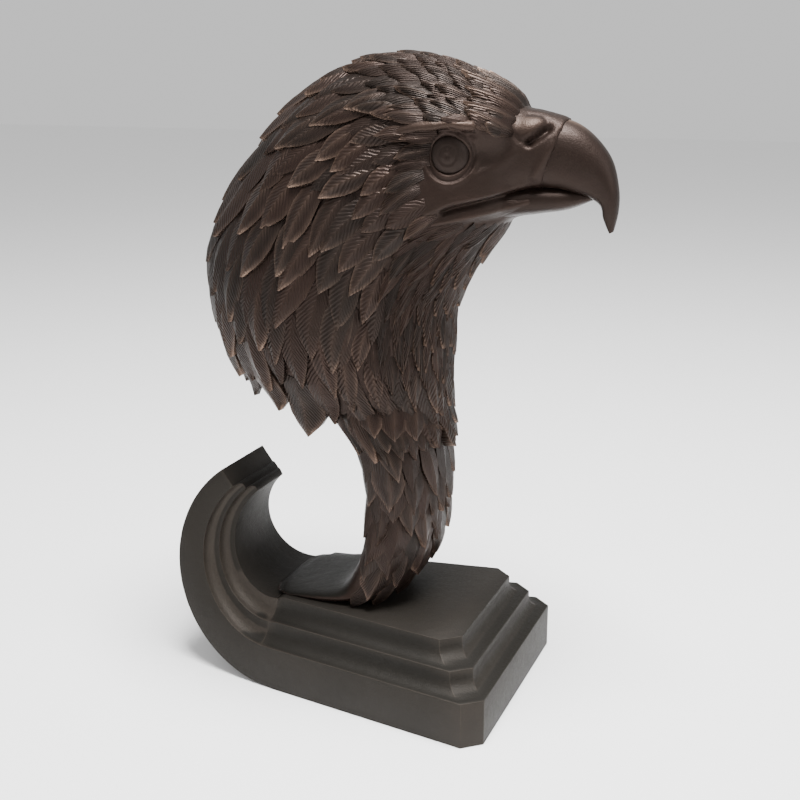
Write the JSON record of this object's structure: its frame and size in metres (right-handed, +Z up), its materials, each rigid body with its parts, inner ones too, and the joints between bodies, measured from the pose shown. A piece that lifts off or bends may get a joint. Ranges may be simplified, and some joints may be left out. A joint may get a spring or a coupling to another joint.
{
  "type": "eagle bust figurine",
  "caption": "Cast eagle's head and feathered neck with a hooked beak, standing on a stepped plinth that narrows and curls up behind it.",
  "frame": {"origin": "centre of the plinth's flat underside, where the figurine rests", "axes": "+X the way the beak points, +Y to the bird's left, +Z up"},
  "size_m": [0.2086, 0.1194, 0.3],
  "materials": {
    "feather_bronze": "dark brown bronze patina with coppery highlights on the raised feathers, brow and beak, semi-gloss",
    "plinth_bronze": "dark grey-brown patina, satin, with slightly brighter edges on the moulding"
  },
  "bodies": {
    "root": {"eagle": "feather_bronze", "plinth": "plinth_bronze"}
  },
  "joints": []
}
